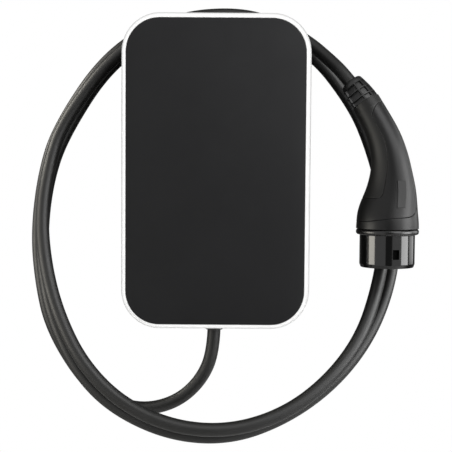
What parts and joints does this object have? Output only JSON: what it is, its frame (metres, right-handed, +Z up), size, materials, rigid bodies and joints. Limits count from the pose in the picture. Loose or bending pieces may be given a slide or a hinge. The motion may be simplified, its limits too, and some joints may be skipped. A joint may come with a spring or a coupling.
{
  "type": "ev wallbox",
  "caption": "Wall-mounted charging box for electric cars, dark rounded front in a light frame, with its charging cable wound over a cradle behind it and a vehicle plug at the end.",
  "frame": {"origin": "centre of the wall plate's four holes, on the plane of the wall", "axes": "+Z up, -Y out of the wall towards the user, +X to the user's right"},
  "size_m": [0.4214, 0.1567, 0.4665],
  "materials": {
    "white_plastic": "satin",
    "panel_plastic": "fine grain",
    "black_plastic": "matte",
    "grey_plastic": "matte",
    "bracket_steel": "powder coated",
    "steel_screws": "zinc plated",
    "seal_rubber": "matte",
    "circuit_board": "lacquered",
    "blue_ceramic": "lacquered",
    "capacitor_metal": "satin",
    "shield_metal": "satin",
    "brass": "turned",
    "clear_plastic": "polished",
    "cable_sheath": "matte",
    "boot_rubber": "matte",
    "grip_plastic": "fine grain",
    "gloss_black": "polished",
    "contact_silver": "silver plated"
  },
  "bodies": {
    "root": {"wall_bracket": "bracket_steel", "cable_cradle": "black_plastic", "bracket_lock_screw": "steel_screws", "cradle_screws": "steel_screws", "rear_housing": "black_plastic", "housing_gasket": "seal_rubber", "front_frame": "white_plastic", "front_panel": "panel_plastic", "cover_screws": "steel_screws", "supply_grommet": "seal_rubber", "power_board": "circuit_board", "board_screws": "steel_screws", "supply_terminals": "grey_plastic", "terminal_screws": "steel_screws", "relays": "black_plastic", "surge_arresters": "blue_ceramic", "residual_current_sensor": "grey_plastic", "power_supply_module": "black_plastic", "smoothing_capacitors": "capacitor_metal", "earth_bar": "brass", "board_spacers": "brass", "control_board": "circuit_board", "spacer_screws": "steel_screws", "processor_shield": "shield_metal", "radio_module": "shield_metal", "ribbon_cable": "grey_plastic", "status_board": "circuit_board", "status_screws": "steel_screws", "light_guide": "clear_plastic", "cable_cores": "cable_sheath", "gland_body": "black_plastic", "gland_locknut": "black_plastic", "gland_seal": "seal_rubber", "gland_cap": "black_plastic", "charging_cable": "cable_sheath", "plug_boot": "boot_rubber", "handle_front": "grip_plastic", "handle_back": "grip_plastic", "grip_pad": "boot_rubber", "plug_collar": "grip_plastic", "name_plate": "grip_plastic", "plug_nose": "gloss_black", "nose_seal": "seal_rubber", "contact_insert": "black_plastic", "power_contacts": "contact_silver", "signal_contacts": "contact_silver", "cord_clamp": "grey_plastic", "clamp_screws": "steel_screws", "handle_screws": "steel_screws", "plug_cores": "cable_sheath"}
  },
  "joints": []
}
